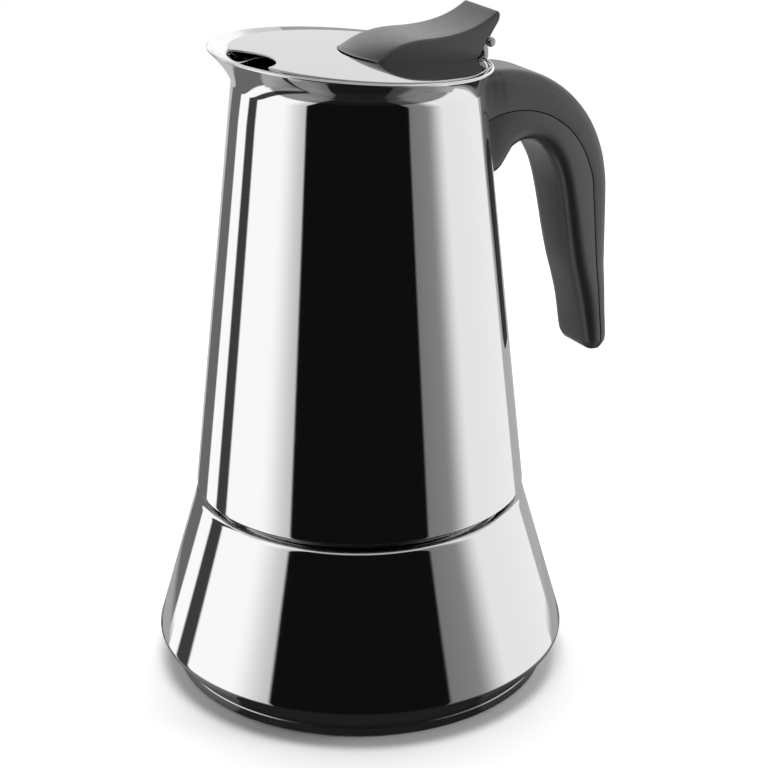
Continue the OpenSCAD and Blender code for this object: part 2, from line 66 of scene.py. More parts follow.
# Sizes of the object, the same as in the CAD source.
BASE_R, BASE_H = 52.6, 3.0
BULGE = (54.9, 9.8)
BULGE_ROUND = 2.6
SHOULDER = (44.1, 49.7)
SHOULDER_ROUND = 2.0
CHAMFER = 39.8
NECK_R, NECK_TOP = 41.5, 64.0
WALL = 0.9
PITCH, THREAD_TURNS, THREAD_DEPTH, THREAD_Z = 4.0, 1.6, 1.0, 56.0
SKIRT_Z, SKIRT_R = 54.0, 45.7
THROAT_Z, THROAT_R = 167.2, 33.3
RIM_Z, RIM_R, RIM_TILT = 173.6, 37.6, 5.1
SPOUT_REACH, SPOUT_DIP, FLARE_BEND = 2.1, 3.0, 1.35
COLUMN_FOOT_R, COLUMN_R, COLUMN_TOP, COLUMN_WALL = 8.0, 5.2, 124.0, 0.9
BASKET_R, BASKET_Z, BASKET_WALL = 31.0, 42.0, 0.7
GASKET_Z, GASKET_T, GASKET_R, GASKET_BORE_R = 65.0, 3.0, 41.2, 31.5
FLOOR_Z, FLOOR_T, FLOOR_RISE = GASKET_Z + GASKET_T, 0.9, 6.0
LID_R, LID_LOW, LID_TOP, LID_HEM = 34.1, -0.4, 0.2, 0.6
NOTCH_R, NOTCH_DEPTH = 12.5, 8.6
SLOT_X, SLOT_HALF = 29.9, 8.0
PIN = (35.5, 174.8)
KNUCKLE_R = 2.3
TAPER = (SKIRT_R - THROAT_R) / (THROAT_Z - SKIRT_Z)
DROP = math.tan(math.radians(RIM_TILT))

# The record's finishes and the CAD nodes that have them.
FINISHES = {
    "polished_steel": ["boiler_shell", "jug_shell"],
    "lid_steel": ["lid_disc"],
    "base_steel": ["base_disc"],
    "inner_steel": ["funnel_basket", "funnel_stem", "funnel_screen", "filter_plate", "thread_collar",
                    "jug_floor", "riser_column", "column_cap", "handle_bracket", "handle_screw",
                    "valve_spring"],
    "hinge_steel": ["hinge_bracket", "hinge_pin", "lid_hinge_leaf", "lever_screws"],
    "valve_brass": ["valve_body", "valve_nut", "valve_plunger"],
    "seal_silicone": ["valve_washer", "gasket"],
    "grip_plastic": ["handle_outer_shell", "handle_inner_shell"],
    "lever_plastic": ["lid_lever"],
}
SLOT_OF = {node: slot for slot, nodes in FINISHES.items() for node in nodes}


# ---- Materials ----

class Finish:
    """A node material with a Principled shader, textured in the object's own coordinates."""

    def __init__(self, name, color, metallic, roughness):
        self.material = bpy.data.materials.new(name)
        self.material.use_nodes = True
        self.tree = self.material.node_tree
        self.shader = self.tree.nodes["Principled BSDF"]
        self.shader.inputs["Base Color"].default_value = (*color, 1)
        self.shader.inputs["Metallic"].default_value = metallic
        self.shader.inputs["Roughness"].default_value = roughness
        self.place = self.add("ShaderNodeTexCoord").outputs["Object"]

    def add(self, kind, inputs=None, **settings):
        node = self.tree.nodes.new(kind)
        for key, value in settings.items():
            setattr(node, key, value)
        for key, value in (inputs or {}).items():
            if isinstance(value, bpy.types.NodeSocket):
                self.tree.links.new(value, node.inputs[key])
            else:
                node.inputs[key].default_value = value
        return node

    def noise(self, scale, stretch=(1, 1, 1), detail=4, where=None):
        spot = self.add("ShaderNodeMapping", {"Vector": where or self.place, "Scale": stretch})
        return self.add("ShaderNodeTexNoise", {"Vector": spot.outputs[0], "Scale": scale,
                                               "Detail": detail}).outputs["Fac"]

    def spread(self, value, low, high, start=0.3, end=0.7):
        return self.add("ShaderNodeMapRange", {"Value": value, "From Min": start, "From Max": end,
                                               "To Min": low, "To Max": high}).outputs[0]

    def turned(self, scale, detail=3):
        """Noise that varies with the distance from the Z axis and with height, as lathe marks do."""
        parts = self.add("ShaderNodeSeparateXYZ", {0: self.place})
        flat = self.add("ShaderNodeCombineXYZ", {0: parts.outputs[0], 1: parts.outputs[1]})
        radius = self.add("ShaderNodeVectorMath", {0: flat.outputs[0]}, operation="LENGTH")
        rings = self.add("ShaderNodeCombineXYZ", {0: radius.outputs["Value"], 1: parts.outputs[2]})
        return self.noise(scale, detail=detail, where=rings.outputs[0])

    def bump(self, height, distance_mm, strength=1.0):
        last = self.shader.inputs["Normal"]
        below = last.links[0].from_socket if last.links else None
        node = self.add("ShaderNodeBump", {"Height": height, "Distance": distance_mm * MM,
                                           "Strength": strength})
        if below:
            self.tree.links.new(below, node.inputs["Normal"])
        self.tree.links.new(node.outputs[0], last)

    def drive(self, key, socket):
        self.tree.links.new(socket, self.shader.inputs[key])

    def blend(self, factor, first, second):
        node = self.add("ShaderNodeMix", {"Factor": factor}, data_type="RGBA")
        colors = [s for s in node.inputs if s.type == "RGBA"]
        colors[0].default_value, colors[1].default_value = (*first, 1), (*second, 1)
        self.drive("Base Color", [s for s in node.outputs if s.type == "RGBA"][0])


def polished_steel():
    """Mirror-polished drawn sheet with faint waves from drawing and hairline marks round it."""
    f = Finish("polished_steel", (0.85, 0.85, 0.85), 1, 0.05)
    f.bump(f.noise(9, (1, 1, 0.35), detail=1), 0.05)
    f.bump(f.turned(2600, detail=2), 0.00006)
    marks = f.noise(55, (1, 1, 14), detail=5)
    f.drive("Roughness", f.spread(marks, 0.03, 0.06))
    return f.material


def lid_steel():
    """Polished flat sheet with fine rings from polishing it on a turntable."""
    f = Finish("lid_steel", (0.46, 0.46, 0.46), 1, 0.04)
    f.bump(f.noise(22, detail=1), 0.012)
    f.bump(f.turned(4200), 0.00012)
    f.drive("Roughness", f.spread(f.noise(70, detail=5), 0.025, 0.05))
    return f.material


def base_steel():
    """Thick bottom plate with the marks of the lathe, a little heat-stained."""
    f = Finish("base_steel", (0.74, 0.73, 0.72), 1, 0.25)
    f.bump(f.turned(1500), 0.004)
    f.drive("Roughness", f.spread(f.noise(60), 0.16, 0.3))
    f.blend(f.spread(f.noise(28), 0, 1), (0.76, 0.76, 0.76), (0.7, 0.67, 0.62))
    return f.material


def inner_steel():
    """Satin steel of the parts inside."""
    f = Finish("inner_steel", (0.7, 0.7, 0.7), 1, 0.28)
    f.bump(f.turned(2200), 0.0015)
    f.drive("Roughness", f.spread(f.noise(90), 0.2, 0.34))
    f.blend(f.spread(f.noise(35), 0, 1), (0.74, 0.74, 0.73), (0.66, 0.66, 0.65))
    return f.material


def hinge_steel():
    """Tumbled steel of pin, leaf and screws. Its colour is darkened well below steel's, to 0.36:
    painted shade for these parts tucked under the lever by the rim.
    """
    f = Finish("hinge_steel", (0.36, 0.36, 0.36), 1, 0.16)
    f.bump(f.noise(900), 0.004)
    f.drive("Roughness", f.spread(f.noise(300), 0.1, 0.22))
    return f.material


def valve_brass():
    """Turned brass that has dulled in patches."""
    f = Finish("valve_brass", (0.78, 0.6, 0.3), 1, 0.25)
    f.bump(f.noise(1400), 0.004)
    stain = f.noise(260, detail=5)
    f.drive("Roughness", f.spread(stain, 0.18, 0.36))
    f.blend(f.spread(stain, 0, 1), (0.8, 0.62, 0.32), (0.62, 0.46, 0.22))
    return f.material


def seal_silicone():
    """Matt off-white silicone."""
    f = Finish("seal_silicone", (0.84, 0.83, 0.79), 0, 0.6)
    f.bump(f.noise(1800), 0.01)
    f.drive("Roughness", f.spread(f.noise(200), 0.5, 0.68))
    f.blend(f.spread(f.noise(60), 0, 1), (0.86, 0.85, 0.82), (0.8, 0.78, 0.73))
    return f.material


def moulded(name, light, dark, rough):
    """Moulded plastic with a fine spark-eroded grain and slight flow marks."""
    f = Finish(name, light, 0, sum(rough) / 2)
    f.shader.inputs["Specular IOR Level"].default_value = 1.0
    f.bump(f.noise(2600, detail=3), 0.014)
    f.bump(f.noise(40, detail=1), 0.05)
    f.drive("Roughness", f.spread(f.noise(500), *rough))
    f.blend(f.spread(f.noise(45, (1, 1, 0.4), detail=5), 0, 1), light, dark)
    return f.material


MATERIALS = {
    "polished_steel": polished_steel(),
    "lid_steel": lid_steel(),
    "base_steel": base_steel(),
    "inner_steel": inner_steel(),
    "hinge_steel": hinge_steel(),
    "valve_brass": valve_brass(),
    "seal_silicone": seal_silicone(),
    "grip_plastic": moulded("grip_plastic", (0.018, 0.018, 0.0184), (0.014, 0.014, 0.0144),
                            (0.28, 0.34)),
    "lever_plastic": moulded("lever_plastic", (0.018, 0.018, 0.02), (0.015, 0.015, 0.017),
                             (0.28, 0.34)),
}


# ---- Mesh helpers ----

def mesh_object(name, points, faces, sharp=35):
    """An object from points in millimetres, its doubles merged and its normals outward."""
    mesh = bpy.data.meshes.new(name)
    mesh.from_pydata((np.asarray(points, float) * MM).tolist(), [], faces)
    obj = bpy.data.objects.new(name, mesh)
    bpy.context.scene.collection.objects.link(obj)
    clean(obj, sharp)
    return obj


def clean(obj, sharp=35):
    work = bmesh.new()
    work.from_mesh(obj.data)
    bmesh.ops.remove_doubles(work, verts=work.verts, dist=1e-7)
    bmesh.ops.recalc_face_normals(work, faces=work.faces)
    work.to_mesh(obj.data)
    work.free()
    obj.data.shade_smooth()
    obj.data.set_sharp_from_angle(angle=math.radians(sharp))


def apply_modifiers(obj):
    bpy.context.view_layer.update()
    graph = bpy.context.evaluated_depsgraph_get()
    mesh = bpy.data.meshes.new_from_object(obj.evaluated_get(graph), depsgraph=graph)
    obj.modifiers.clear()
    obj.data = mesh


def cut(obj, *tools, sharp=35):
    """Takes the tools' solids out of obj."""
    for tool in tools:
        step = obj.modifiers.new("cut", "BOOLEAN")
        step.operation, step.solver, step.object = "DIFFERENCE", "EXACT", tool
        apply_modifiers(obj)
        bpy.data.objects.remove(tool)
    clean(obj, sharp)
    return obj


def loft(name, rings, closed=False, sharp=35):
    """A skin over rings of equally many points; the ends are capped unless the rings close up."""
    rings = np.asarray(rings, float)
    m, n = rings.shape[:2]
    faces = []
    for i in range(m if closed else m - 1):
        a, b = i * n, (i + 1) % m * n
        faces += [(a + j, a + (j + 1) % n, b + (j + 1) % n, b + j) for j in range(n)]
    if not closed:
        faces += [tuple(range(n - 1, -1, -1)), tuple((m - 1) * n + j for j in range(n))]
    return mesh_object(name, rings.reshape(-1, 3), faces, sharp)


def backed(profile, near=(0.25, 1.0, 3.0)):
    """The closed outline with extra points near the ends of long stretches, for true shading."""
    out = []
    for p, q in zip(profile, profile[1:] + profile[:1]):
        length = math.dist(p, q)
        if length < 1e-6:
            continue
        steps = [d for d in near if 2 * d < length]
        stops = [0] + steps + [length - d for d in reversed(steps)]
        out += [(p[0] + (q[0] - p[0]) * s / length, p[1] + (q[1] - p[1]) * s / length) for s in stops]
    return out


def lathe(name, profile, columns=192, ridge=None, sharp=35):
    """A closed outline of (radius, height) turned about Z.

    ridge(angle, radius, height) adds to the radius.
    """
    profile = backed(profile)
    rings = []
    for k in range(columns):
        a = 2 * math.pi * k / columns
        ring = []
        for r, z in profile:
            r += ridge(a, r, z) if ridge else 0
            ring.append((r * math.cos(a), r * math.sin(a), z))
        rings.append(ring)
    return loft(name, rings, closed=True, sharp=sharp)


def arc(centre, radius, start, end, steps):
    """Points of an arc from start to end degrees."""
    turn = [math.radians(start + (end - start) * i / steps) for i in range(steps + 1)]
    return [(centre[0] + radius * math.cos(a), centre[1] + radius * math.sin(a)) for a in turn]


def box_tool(low, high):
    xs, ys, zs = zip(low, high)
    corners = [(x, y, z) for x in xs for y in ys for z in zs]
    faces = [(0, 1, 3, 2), (4, 6, 7, 5), (0, 4, 5, 1), (2, 3, 7, 6), (0, 2, 6, 4), (1, 5, 7, 3)]
    return mesh_object("tool", corners, faces)


def cross_tool(outline, half):
    """A prism across the object: an outline of (x, z) between y = -half and half."""
    return loft("tool", [[(x, y, z) for x, z in outline] for y in (-half, half)])


def upright_tool(x, low, high, radius):
    circle = arc((x, 0), radius, 0, 345, 23)
    return loft("tool", [[(px, py, z) for px, py in circle] for z in (low, high)])


def on_rim(x, y, z):
    """A point of the tilted plane of the rim, in the object's frame."""
    c, s = math.cos(math.radians(RIM_TILT)), math.sin(math.radians(RIM_TILT))
    return (x * c + z * s, y, RIM_Z - x * s + z * c)


def piece(obj, node):
    """obj stands for a CAD node: it gets that node's finish and moves with its body."""
    slot = SLOT_OF[node]
    obj.name = node + "_fine"
    obj.data.materials.clear()
    obj.data.materials.append(MATERIALS[slot])
    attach(obj, frame["nodes"][node]["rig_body"])
    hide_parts(node)
    return obj


def softened(node, width=0.2, sharp=40):
    """A copy of a CAD node with its edges broken, as tumbling or moulding leaves them."""
    obj = bpy.data.objects.new(node, frame["nodes"][node].data.copy())
    bpy.context.scene.collection.objects.link(obj)
    work = bmesh.new()
    work.from_mesh(obj.data)
    bmesh.ops.remove_doubles(work, verts=work.verts, dist=2e-6)
    bmesh.ops.dissolve_limit(work, angle_limit=math.radians(0.5), verts=work.verts, edges=work.edges)
    work.to_mesh(obj.data)
    work.free()
    step = obj.modifiers.new("soft", "BEVEL")
    step.width, step.segments, step.limit_method = width * MM, 2, "ANGLE"
    step.angle_limit, step.use_clamp_overlap = math.radians(32), True
    apply_modifiers(obj)
    clean(obj, sharp)
    return piece(obj, node)


# ---- Boiler ----

LEAN = (math.atan2(BULGE[0] - SHOULDER[0], SHOULDER[1] - BULGE[1])
        + math.asin((BULGE_ROUND - SHOULDER_ROUND) / math.dist(BULGE, SHOULDER)))
LEAN_DEG = math.degrees(LEAN)


def boiler_outline():
    outer_bulge = arc(BULGE, BULGE_ROUND, -CHAMFER, LEAN_DEG, 20)
    inner_bulge = arc(BULGE, BULGE_ROUND - WALL, -CHAMFER, LEAN_DEG, 12)
    slope = math.tan(math.radians(CHAMFER))
    foot = [(0, BASE_H), (outer_bulge[0][0] - (outer_bulge[0][1] - BASE_H) * slope, BASE_H)]
    low = BASE_H + WALL
    inner_foot = [(0, low), (inner_bulge[0][0] - (inner_bulge[0][1] - low) * slope, low)]
    shoulder_top = SHOULDER[1] + SHOULDER_ROUND
    fillet = 0.6
    neck = [(NECK_R + fillet, shoulder_top)]
    neck += arc((NECK_R + fillet, shoulder_top + fillet), fillet, 270, 180, 5)[1:]
    neck += [(NECK_R, 53.6 + 0.2 * i) for i in range(50)]
    neck += arc((NECK_R - 0.3, NECK_TOP - 0.3), 0.3, 0, 90, 4)
    neck += arc((NECK_R - WALL + 0.3, NECK_TOP - 0.3), 0.3, 90, 180, 4)
    inside = [(NECK_R - WALL, shoulder_top - WALL)]
    inside += list(reversed(arc(SHOULDER, SHOULDER_ROUND - WALL, LEAN_DEG, 90, 6)))
    inside += list(reversed(inner_bulge)) + list(reversed(inner_foot))
    return foot + outer_bulge + arc(SHOULDER, SHOULDER_ROUND, LEAN_DEG, 90, 14) + neck + inside


def neck_ridge(a, r, z):
    """The thread that stands out of the neck."""
    if abs(r - NECK_R) > 0.01 or not 53.5 < z < 63.6:
        return 0
    best = 0
    for turn in range(2):
        along = a / (2 * math.pi) + turn
        if along > THREAD_TURNS:
            continue
        ease = min(1, min(along, THREAD_TURNS - along) * 12 + 0.1)
        off = abs(z - (THREAD_Z + PITCH * along))
        best = max(best, ease * THREAD_DEPTH * min(1, max(0, (1.1 - off) / 0.5)))
    return best


piece(lathe("boiler", boiler_outline(), 256, neck_ridge, sharp=50), "boiler_shell")

def base_outline():
    """The bottom plate, with two shallow grooves turned in its underside."""
    low_round, top_round, groove_depth = 0.8, 0.35, 0.3
    outline = [(0, 0)]
    for r in (18, 34):
        outline += [(r - 0.4, 0), (r, groove_depth), (r + 0.8, groove_depth), (r + 1.2, 0)]
    outline += arc((BASE_R - low_round, low_round), low_round, -90, 0, 8)
    outline += [(BASE_R, BASE_H - top_round)]
    outline += arc((BASE_R - top_round, BASE_H - top_round), top_round, 0, 90, 4)
    return outline + [(0, BASE_H)]


piece(lathe("base", base_outline(), 256), "base_disc")


# ---- Jug ----

def jug_r(z):
    return SKIRT_R - TAPER * (z - SKIRT_Z)


def lip_point(a, t):
    """Outer face of the rim at angle a: t runs from the throat, 0, to the lip, 1."""
    low_r = THROAT_R - 0.3
    out_r = math.sqrt(RIM_R ** 2 - (SPOUT_REACH * math.sin(a)) ** 2) - SPOUT_REACH * math.cos(a)
    low_z = THROAT_Z - low_r * DROP * math.cos(a) - SPOUT_DIP * max(0, -math.cos(a)) ** 3
    out_z = RIM_Z - out_r * DROP * math.cos(a)
    z = low_z + (out_z - low_z) * t
    r0 = jug_r(low_z)
    return Vector((r0 - TAPER * (z - low_z) * (1 - t) + (out_r - r0) * max(t, 0) ** FLARE_BEND, z))


def lip_ahead(a, t):
    """Direction in which the lip runs at t."""
    if t <= 0:
        return Vector((-TAPER, 1)).normalized()
    return (lip_point(a, t + 0.01) - lip_point(a, t - 0.01)).normalized()


def lip_back(a, t):
    ahead = lip_ahead(a, t)
    return lip_point(a, t) + WALL * Vector((-ahead[1], ahead[0]))


def jug_section(a):
    """Closed upright section of the jug's wall at angle a."""
    rows, edge, turn = 30, 0.32, 5
    high = [80, 110, 140, 155, 160]
    skirt = [SKIRT_Z + 0.2, SKIRT_Z + 0.6, SKIRT_Z + 1.5, 60]
    outer = [Vector((jug_r(z), z)) for z in skirt + high]
    outer += [lip_point(a, i / rows) for i in range(rows)]
    inner = [lip_back(a, i / rows) for i in range(rows - 1, -1, -1)]
    inner += [Vector((jug_r(z) - WALL, z)) for z in (*reversed(high), 60, SKIRT_Z + 1.5, SKIRT_Z + 0.6)]
    ahead = lip_ahead(a, 1)
    inward = Vector((-ahead[1], ahead[0]))
    p, q = lip_point(a, 1) - edge * ahead, lip_back(a, 1) - edge * ahead
    quarter = [math.radians(90 * i / turn) for i in range(turn + 1)]
    rim = [p + edge * (ahead * math.sin(b) + inward * (1 - math.cos(b))) for b in quarter]
    rim += [q + edge * (ahead * math.cos(b) - inward * (1 - math.sin(b))) for b in quarter]
    low = 0.2
    hem_in = jug_r(SKIRT_Z + low) - WALL
    hem = arc((hem_in + low, SKIRT_Z + low), low, 180, 270, turn)
    hem += arc((jug_r(SKIRT_Z + low) - low, SKIRT_Z + low), low, 270, 360, turn)[:-1]
    return [tuple(v) for v in outer + rim + inner] + hem


def jug():
    columns, rings = 360, []
    for k in range(columns):
        a = 2 * math.pi * k / columns
        rings.append([(r * math.cos(a), r * math.sin(a), z) for r, z in jug_section(a)])
    return loft("jug", rings, closed=True, sharp=50)


piece(jug(), "jug_shell")


# ---- Parts inside the jug and the boiler ----

def rounded(profile, radius=0.25, steps=3):
    """The closed outline with its corners rounded, apart from those on the axis."""
    out = []
    count = len(profile)
    for i, p in enumerate(profile):
        p, before, after = Vector(p), Vector(profile[i - 1]), Vector(profile[(i + 1) % count])
        if p[0] == 0:
            out.append(tuple(p))
            continue
        reach = min(radius, (before - p).length * 0.45, (after - p).length * 0.45)
        start, end = p + (before - p).normalized() * reach, p + (after - p).normalized() * reach
        for k in range(steps + 1):
            t = k / steps
            out.append(tuple(start * (1 - t) ** 2 + p * 2 * t * (1 - t) + end * t ** 2))
    return out


floor_top = FLOOR_Z + FLOOR_T
column_foot = floor_top + FLOOR_RISE
column_out = [(COLUMN_FOOT_R, column_foot), (COLUMN_FOOT_R - 0.6, column_foot + 4),
              (COLUMN_R, COLUMN_TOP - 4), (COLUMN_R, COLUMN_TOP)]
column_in = [(r - COLUMN_WALL, z) for r, z in reversed(column_out)]
piece(lathe("column", rounded(column_out + column_in), 96), "riser_column")

floor_edge = jug_r(floor_top) - WALL - 0.05
flat_r, seat_r = 30, COLUMN_FOOT_R + 0.6
seat_bore_r = COLUMN_FOOT_R - COLUMN_WALL
jug_floor = [
    (floor_edge, FLOOR_Z), (floor_edge, floor_top), (flat_r, floor_top), (seat_r, column_foot),
    (seat_bore_r, column_foot), (seat_bore_r, FLOOR_Z + FLOOR_RISE), (seat_r, FLOOR_Z + FLOOR_RISE),
    (flat_r, FLOOR_Z),
]
piece(lathe("floor", rounded(jug_floor, 0.3), 192), "jug_floor")

stem_seat_r, stem_seat_z, basket_flat_r, flange_r = 5.2, 38, 26, 40.9
basket = [
    (stem_seat_r, stem_seat_z), (basket_flat_r, BASKET_Z), (BASKET_R, BASKET_Z),
    (BASKET_R, NECK_TOP), (flange_r, NECK_TOP), (flange_r, GASKET_Z),
    (BASKET_R - BASKET_WALL, GASKET_Z), (BASKET_R - BASKET_WALL, BASKET_Z + BASKET_WALL),
    (basket_flat_r, BASKET_Z + BASKET_WALL), (stem_seat_r, stem_seat_z + BASKET_WALL),
]
piece(lathe("basket", rounded(basket, 0.3), 192), "funnel_basket")

plate_seat_r, plate_seat_z = 33.8, FLOOR_Z - 0.8
gasket = [
    (GASKET_BORE_R, GASKET_Z), (GASKET_R, GASKET_Z), (GASKET_R, FLOOR_Z),
    (plate_seat_r, FLOOR_Z), (plate_seat_r, plate_seat_z), (GASKET_BORE_R, plate_seat_z),
]
piece(lathe("gasket", rounded(gasket, 0.3), 192), "gasket")

# small parts keep their CAD shape, with edges broken by this many millimetres
for small, broken in (("column_cap", 0.25), ("hinge_bracket", 0.2), ("hinge_pin", 0.15),
                      ("lid_hinge_leaf", 0.2), ("handle_screw", 0.15), ("handle_bracket", 0.3),
                      ("lever_screws", 0.25), ("valve_body", 0.3), ("valve_nut", 0.3),
                      ("valve_plunger", 0.2), ("valve_washer", 0.1), ("funnel_stem", 0.2)):
    softened(small, broken)

for node in ("valve_spring", "funnel_screen", "filter_plate", "thread_collar"):
    carried = frame["nodes"][node]
    carried.data.materials.clear()
    carried.data.materials.append(MATERIALS[SLOT_OF[node]])


# ---- Handle ----

def bezier(p, t):
    weights = ((1 - t) ** 3, 3 * t * (1 - t) ** 2, 3 * t * t * (1 - t), t ** 3)
    return tuple(sum(w * q[k] for w, q in zip(weights, p)) for k in (0, 1))


OUTER_BEND = ((40, 166.4), (56.5, 166.6), (76, 151.8), (75.8, 125))
INNER_BEND = ((43.4, 143.4), (46.6, 147.2), (55.3, 148), (59.8, 132.2))
INNER_GRIP = ((59.8, 132.2), (62.4, 122), (63.2, 112), (67, 100))
OUTER_END, INNER_END = (77.4, 83.8), (70.7, 83.4)
ROOT_HALF, GRIP_HALF, END_HALF = 9, 10.5, 8.8
PARTING = ((34, 152.8), (45, 159), (64, 153.5), (69.2, 132.5))


def parting_share(o, n, fallback):
    """Where the line o-n crosses the parting curve, as a share of its length."""
    across = Vector(n) - Vector(o)
    previous = None
    for i in range(201):
        point = Vector(bezier(PARTING, i / 200)) - Vector(o)
        side = across[0] * point[1] - across[1] * point[0]
        if previous is not None and side * previous <= 0:
            return point.dot(across) / across.length_squared
        previous = side
    return fallback


def handle_sections():
    """A row for each section: a point of the outer face, one of the inner, half width, parting."""
    pairs = [((31, 166.1), (34, 136.7)), ((35.4, 166.3), (37.6, 137.2)),
             ((37, 166.4), (39.8, 138.2)), ((38.6, 166.4), (41.6, 140.6))]
    bend_steps, grip_steps = 12, 6
    pairs += [(bezier(OUTER_BEND, i / bend_steps), bezier(INNER_BEND, i / bend_steps))
              for i in range(bend_steps + 1)]
    start = OUTER_BEND[3]
    for i in range(1, grip_steps + 1):
        along = 0.62 * i / grip_steps
        outer = tuple(start[k] + (OUTER_END[k] - start[k]) * along for k in (0, 1))
        pairs.append((outer, bezier(INNER_GRIP, i / grip_steps)))
    pairs += [((77, 91.5), (69.1, 91.6)), (OUTER_END, INNER_END),
              ((77.1, 81.2), (71.2, 81.4)), ((76, 79.8), (72.2, 80.1))]
    last = len(pairs) - 1
    widest = 0.45
    rows, part = [], 0.47
    for i, (o, n) in enumerate(pairs):
        s = i / last
        if s < widest:
            half = ROOT_HALF + (GRIP_HALF - ROOT_HALF) * s / widest
        else:
            half = GRIP_HALF - (GRIP_HALF - END_HALF) * (s - widest) / (1 - widest)
        if i > last - 2:
            half = END_HALF - 0.8 * (i - last + 2)
        part = parting_share(o, n, part)
        rows.append((*o, *n, half, part))
    return np.array(rows)


def smooth_rows(rows, steps):
    """Catmull-Rom curve through the rows, with steps to each stretch."""
    padded = np.vstack([2 * rows[0] - rows[1], rows, 2 * rows[-1] - rows[-2]])
    out = []
    for i in range(1, len(padded) - 2):
        a, b, c, d = padded[i - 1:i + 3]
        for k in range(steps):
            t = k / steps
            out.append(0.5 * (2 * b + (c - a) * t + (2 * a - 5 * b + 4 * c - d) * t * t
                              + (3 * b - a - 3 * c + d) * t ** 3))
    return np.array(out + [rows[-1]])


def handle_ring(row, outer, shrink=0.0):
    """Section of one shell. The groove at the parting is the two shells' broken edges."""
    o, n, w, share = Vector(row[:2]), Vector(row[2:4]), row[4] - shrink, row[5]
    depth = (n - o).length
    d = (n - o) / depth
    groove, gap = 0.28, 0.04
    cut_at = share * depth + (-gap if outer else gap)
    low = shrink if outer else 0
    depth -= 0 if outer else shrink
    room = (cut_at if outer else depth - cut_at) - 0.5
    r = min(4.0 if outer else 4.8, room)
    corner = [math.radians(90 * k / 8) for k in range(9)]
    if outer:
        section = [(-w + groove, cut_at), (-w + 0.06, cut_at - groove * 0.4), (-w, cut_at - groove)]
        section += [(-w + r - r * math.cos(b), low + r - r * math.sin(b)) for b in corner]
        section += [(w - r + r * math.sin(b), low + r - r * math.cos(b)) for b in corner]
        section += [(w, cut_at - groove), (w - 0.06, cut_at - groove * 0.4), (w - groove, cut_at)]
    else:
        section = [(w - groove, cut_at), (w - 0.06, cut_at + groove * 0.4), (w, cut_at + groove)]
        section += [(w - r + r * math.cos(b), depth - r + r * math.sin(b)) for b in corner]
        section += [(-w + r - r * math.sin(b), depth - r + r * math.cos(b)) for b in corner]
        section += [(-w, cut_at + groove), (-w + 0.06, cut_at + groove * 0.4), (-w + groove, cut_at)]
    return [(o[0] + d[0] * q, y, o[1] + d[1] * q) for y, q in section]


def jug_tool():
    """The space that the jug takes, with a hair's breadth round it."""
    return lathe("tool", [(0, 128), (jug_r(128) + 0.05, 128), (jug_r(163) + 0.05, 163),
                          (RIM_R + 2.1, 172.9), (0, 172.9)], 192)


def bracket_tools():
    block_x = jug_r(143) + 2.5
    return [box_tool((30, -7.1, 142.9), (block_x + 0.1, 7.1, 157.1)),
            box_tool((30, -5.1, 150.9), (56.1, 5.1, 154.1))]


def handle_shell(outer):
    rings = [handle_ring(row, outer) for row in smooth_rows(handle_sections(), 4)]
    # the last section closes with a small dome
    final = handle_sections()[-1]
    away = Vector((-0.12, -1.0)).normalized()
    for shrink, out in ((0.35, 0.28), (0.9, 0.42)):
        row = final.copy()
        row[0:2] += np.array(away) * out
        row[2:4] += np.array(away) * out
        rings.append(handle_ring(row, outer, shrink))
    shell = loft("shell", rings)
    tools = [jug_tool(), *bracket_tools()]
    if outer:
        tools += [box_tool((32, -2.8, 156.5), (37.2, 2.8, 176.5)), upright_tool(48.5, 150, 161, 2.02)]
    else:
        tools += [upright_tool(48.5, 140, 160, 2.2), upright_tool(48.5, 138, 148.6, 4)]
    return cut(shell, *tools, sharp=38)


piece(handle_shell(True), "handle_outer_shell")
piece(handle_shell(False), "handle_inner_shell")


# ---- Lid ----

def lid_outline():
    """Half of the lid's outline, from the hinge slot round to the notch, as (x, y, lean)."""
    corner, inside = 1.3, 1.0
    centre = -LID_R - NOTCH_R + NOTCH_DEPTH
    x = -((LID_R - corner) ** 2 - (NOTCH_R + corner) ** 2 + centre ** 2) / (2 * -centre)
    f = (x, math.sqrt((LID_R - corner) ** 2 - x ** 2))
    start = math.degrees(math.asin(SLOT_HALF / LID_R))
    end = math.degrees(math.atan2(f[1], f[0]))
    towards = math.degrees(math.atan2(-f[1], centre - f[0])) % 360
    slot = [(SLOT_X, 0), (SLOT_X, SLOT_HALF - inside)]
    slot += list(reversed(arc((SLOT_X + inside, SLOT_HALF - inside), inside, 90, 180, 5)))[1:]
    half = [(p[0], p[1], 0) for p in slot]
    half += [(p[0], p[1], 1) for p in arc((0, 0), LID_R, start, end, 100)]
    half += [(p[0], p[1], 0.5) for p in arc(f, corner, end, towards, 10)[1:]]
    half += [(p[0], p[1], 0) for p in arc((centre, 0), NOTCH_R, towards - 180, 0, 24)[1:]]
    return half


def lid():
    half = lid_outline()
    outline = half + [(x, -y, lean) for x, y, lean in reversed(half[1:-1])]
    count = len(outline)
    inward = []
    for i in range(count):
        before, after = Vector(outline[i - 1][:2]), Vector(outline[(i + 1) % count][:2])
        along = (after - before).normalized()
        inward.append(Vector((-along[1], along[0])))
    rings = []
    # how far in from the edge, how much more at the round edge, height, how much lower there
    for inset, leaning, z, hem in (
            (0.95, 0.5, 0, 0), (0.85, 0.45, 0, 0.1), (0.75, 0.35, 0, 0.85), (0.6, 0.3, 0, 1),
            (0.3, 0.35, 0, 1), (0.12, 0.35, 0.03, 0.9), (0.02, 0.25, 0.12, 0.5), (0, 0, 0.3, 0),
            (0.02, 0, 0.42, 0), (0.08, 0, 0.51, 0), (0.18, 0, 0.57, 0), (0.32, 0, 0.6, 0),
            (0.9, 0, 0.6, 0)):
        ring = []
        for (x, y, lean), n in zip(outline, inward):
            shift = inset + leaning * lean
            ring.append(on_rim(x + n[0] * shift, y + n[1] * shift, LID_LOW + z - LID_HEM * hem * lean))
        rings.append(ring)
    return loft("lid", rings, sharp=50)


